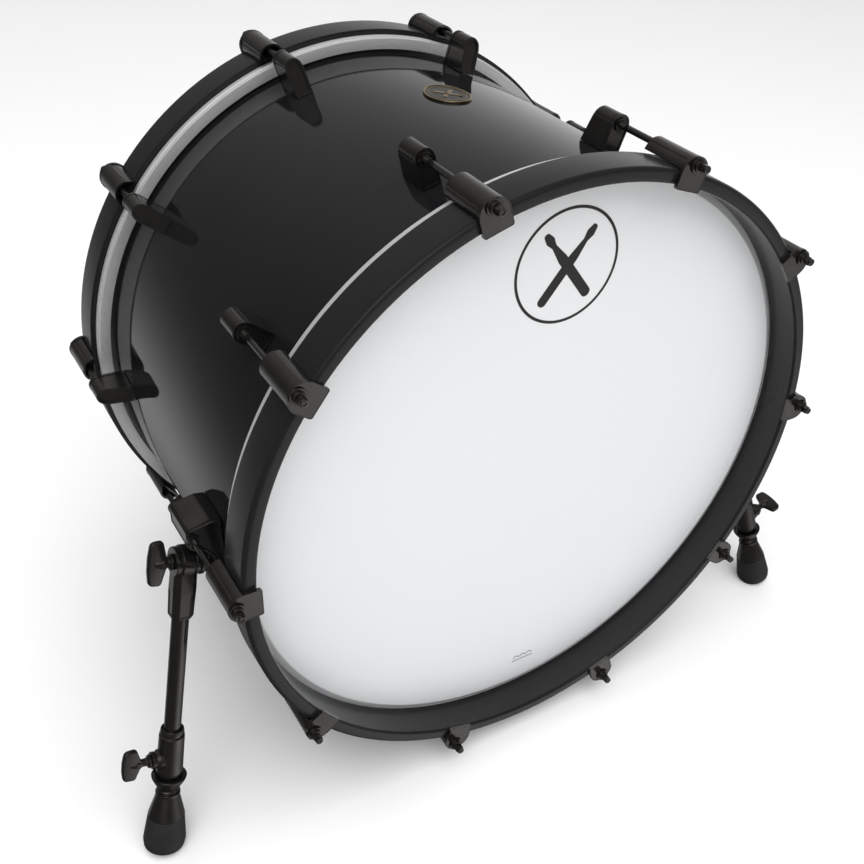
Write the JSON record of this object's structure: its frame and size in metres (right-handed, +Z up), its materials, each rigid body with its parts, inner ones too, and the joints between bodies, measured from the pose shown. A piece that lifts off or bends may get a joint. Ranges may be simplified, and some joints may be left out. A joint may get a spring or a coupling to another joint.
{
  "type": "bass drum",
  "caption": "Bass drum lying on its side: a deep gloss shell, hooped heads held by claws, rods and lugs, and folding, height-adjustable spurs with rubber feet.",
  "frame": {"origin": "on the floor under the drum, at the middle of the overall box in X and Y; the two rubber feet and the lower edge of the rear hoop stand at z = 0", "axes": "+Z up; -Y the way the front (resonant) head faces, with the drum's axis tipped by 2.6 degrees so that the front end stands higher; +X to the right when the front head faces the viewer"},
  "size_m": [0.8025, 0.4807, 0.6146],
  "materials": {
    "shell_lacquer": "polished black lacquer over maple plies, mirror gloss",
    "hoop_lacquer": "black lacquer over maple plies, semi-gloss",
    "flesh_hoop_aluminium": "satin",
    "head_film": "smooth white polyester film, satin",
    "black_nickel": "black nickel plating, polished",
    "foot_rubber": "matt black",
    "badge_brass": "antique brass with a dark enamel field"
  },
  "bodies": {
    "drum": {"badge": "badge_brass", "batter_head": "head_film", "batter_head_ring": "flesh_hoop_aluminium", "front_claw_01": "black_nickel", "front_claw_02": "black_nickel", "front_claw_03": "black_nickel", "front_claw_04": "black_nickel", "front_claw_05": "black_nickel", "front_claw_06": "black_nickel", "front_claw_07": "black_nickel", "front_claw_08": "black_nickel", "front_claw_09": "black_nickel", "front_claw_10": "black_nickel", "front_head": "head_film", "front_head_ring": "flesh_hoop_aluminium", "front_hoop": "hoop_lacquer", "front_lug_01": "black_nickel", "front_lug_02": "black_nickel", "front_lug_04": "black_nickel", "front_lug_05": "black_nickel", "front_lug_06": "black_nickel", "front_lug_07": "black_nickel", "front_lug_09": "black_nickel", "front_lug_10": "black_nickel", "left_spur_bracket": "black_nickel", "rear_claw_01": "black_nickel", "rear_claw_02": "black_nickel", "rear_claw_03": "black_nickel", "rear_claw_04": "black_nickel", "rear_claw_05": "black_nickel", "rear_claw_06": "black_nickel", "rear_claw_07": "black_nickel", "rear_claw_08": "black_nickel", "rear_claw_09": "black_nickel", "rear_claw_10": "black_nickel", "rear_hoop": "hoop_lacquer", "rear_lug_01": "black_nickel", "rear_lug_02": "black_nickel", "rear_lug_03": "black_nickel", "rear_lug_04": "black_nickel", "rear_lug_05": "black_nickel", "rear_lug_06": "black_nickel", "rear_lug_07": "black_nickel", "rear_lug_08": "black_nickel", "rear_lug_09": "black_nickel", "rear_lug_10": "black_nickel", "right_spur_bracket": "black_nickel", "shell": "shell_lacquer"},
    "left_spur_leg": {"left_spur_leg": "black_nickel"},
    "left_spur_extension": {"left_spur_rod": "black_nickel", "left_spur_foot": "foot_rubber"},
    "left_pivot_wing_bolt": {"left_spur_pivot_wing_bolt": "black_nickel"},
    "left_height_wing_bolt": {"left_spur_height_wing_bolt": "black_nickel"},
    "right_spur_leg": {"right_spur_leg": "black_nickel"},
    "right_spur_extension": {"right_spur_rod": "black_nickel", "right_spur_foot": "foot_rubber"},
    "right_pivot_wing_bolt": {"right_spur_pivot_wing_bolt": "black_nickel"},
    "right_height_wing_bolt": {"right_spur_height_wing_bolt": "black_nickel"}
  },
  "joints": [
    {"name": "left_spur_fold", "type": "hinge", "parent": "drum", "child": "left_spur_leg", "pos_m": [-0.31005, -0.10838, 0.28019], "axis": [0.9703, -0.0111, -0.2417], "range_deg": [-10, 95]},
    {"name": "left_spur_extend", "type": "slide", "parent": "left_spur_leg", "child": "left_spur_extension", "axis": [-0.2376, -0.2327, -0.9431], "range_m": [0, 0.1]},
    {"name": "left_pivot_bolt_turn", "type": "hinge", "parent": "drum", "child": "left_pivot_wing_bolt", "pos_m": [-0.31005, -0.10838, 0.28019], "axis": [0.9703, -0.0111, -0.2417], "range_deg": [-180, 180]},
    {"name": "left_height_bolt_turn", "type": "hinge", "parent": "left_spur_leg", "child": "left_height_wing_bolt", "pos_m": [-0.35708, -0.15445, 0.09346], "axis": [0.9703, -0.0111, -0.2417], "range_deg": [-180, 180]},
    {"name": "right_spur_fold", "type": "hinge", "parent": "drum", "child": "right_spur_leg", "pos_m": [0.31005, -0.10838, 0.28019], "axis": [0.9703, 0.0111, 0.2417], "range_deg": [-10, 95]},
    {"name": "right_spur_extend", "type": "slide", "parent": "right_spur_leg", "child": "right_spur_extension", "axis": [0.2376, -0.2327, -0.9431], "range_m": [0, 0.1]},
    {"name": "right_pivot_bolt_turn", "type": "hinge", "parent": "drum", "child": "right_pivot_wing_bolt", "pos_m": [0.31005, -0.10838, 0.28019], "axis": [0.9703, 0.0111, 0.2417], "range_deg": [-180, 180]},
    {"name": "right_height_bolt_turn", "type": "hinge", "parent": "right_spur_leg", "child": "right_height_wing_bolt", "pos_m": [0.35708, -0.15445, 0.09346], "axis": [0.9703, 0.0111, 0.2417], "range_deg": [-180, 180]}
  ]
}
